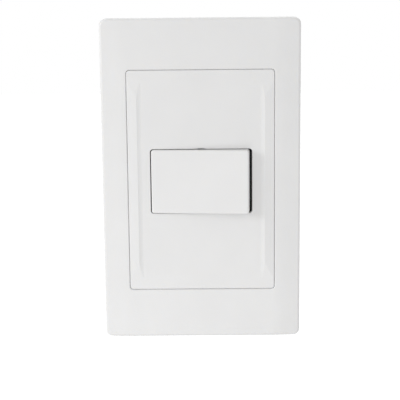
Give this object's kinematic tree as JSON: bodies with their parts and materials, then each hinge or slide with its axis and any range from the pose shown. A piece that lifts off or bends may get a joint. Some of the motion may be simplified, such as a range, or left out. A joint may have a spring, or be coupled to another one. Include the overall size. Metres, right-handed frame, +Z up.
{
  "type": "two-way light switch",
  "caption": "Upright wall light switch: moulded cover frame and panel, a wide sideways-tilting rocker, and a changeover mechanism with screw terminals behind.",
  "frame": {"origin": "on the wall's surface, midway between the two fixing screws", "axes": "+X to the right as seen from the room, +Y into the wall along the fixing screws, +Z up"},
  "size_m": [0.074, 0.0346, 0.12],
  "materials": {
    "white_cover_plastic": "semi-gloss white moulded plastic",
    "frame_plastic": "matt light grey moulded plastic",
    "housing_plastic": "matt grey insulating plastic",
    "carrier_plastic": "matt natural nylon",
    "zinc_plated_steel": "bright zinc plate",
    "spring_steel": "plain spring wire",
    "brass": "pressed brass",
    "silver_contact": "silver alloy"
  },
  "bodies": {
    "wall_part": {"surround_frame": "white_cover_plastic", "face_panel": "white_cover_plastic", "mounting_frame": "frame_plastic", "fixing_screw_upper": "zinc_plated_steel", "fixing_screw_lower": "zinc_plated_steel", "switch_housing": "housing_plastic", "housing_cover": "housing_plastic", "fixed_contact_left": "silver_contact", "fixed_contact_right": "silver_contact", "common_terminal": "brass", "traveller_terminal_left": "brass", "traveller_terminal_right": "brass", "terminal_screw_left": "zinc_plated_steel", "terminal_screw_common": "zinc_plated_steel", "terminal_screw_right": "zinc_plated_steel"},
    "rocker": {"rocker_key": "white_cover_plastic", "rocker_carrier": "carrier_plastic", "plunger_spring": "spring_steel"},
    "plunger_pin": {"plunger": "carrier_plastic"},
    "blade": {"contact_blade": "brass", "moving_contact_left": "silver_contact", "moving_contact_right": "silver_contact"}
  },
  "joints": [
    {"name": "rocker_hinge", "type": "hinge", "parent": "wall_part", "child": "rocker", "pos_m": [0, -0.0042, 0], "axis": [0, 0, 1], "range_deg": [0, 10.4]},
    {"name": "blade_hinge", "type": "hinge", "parent": "wall_part", "child": "blade", "pos_m": [0, 0.0052, 0], "axis": [0, 0, 1], "range_deg": [-12.48, 0]},
    {"name": "plunger_slide", "type": "slide", "parent": "rocker", "child": "plunger_pin", "axis": [-0.0906, -0.9959, 0], "range_m": [0, 0.0012], "stiffness_N_per_m": 500, "springref_m": -0.003, "deforming": ["plunger_spring"]}
  ],
  "couplings": [
    {"joint": "blade_hinge", "follows": "rocker_hinge", "ratio": -1.2}
  ]
}
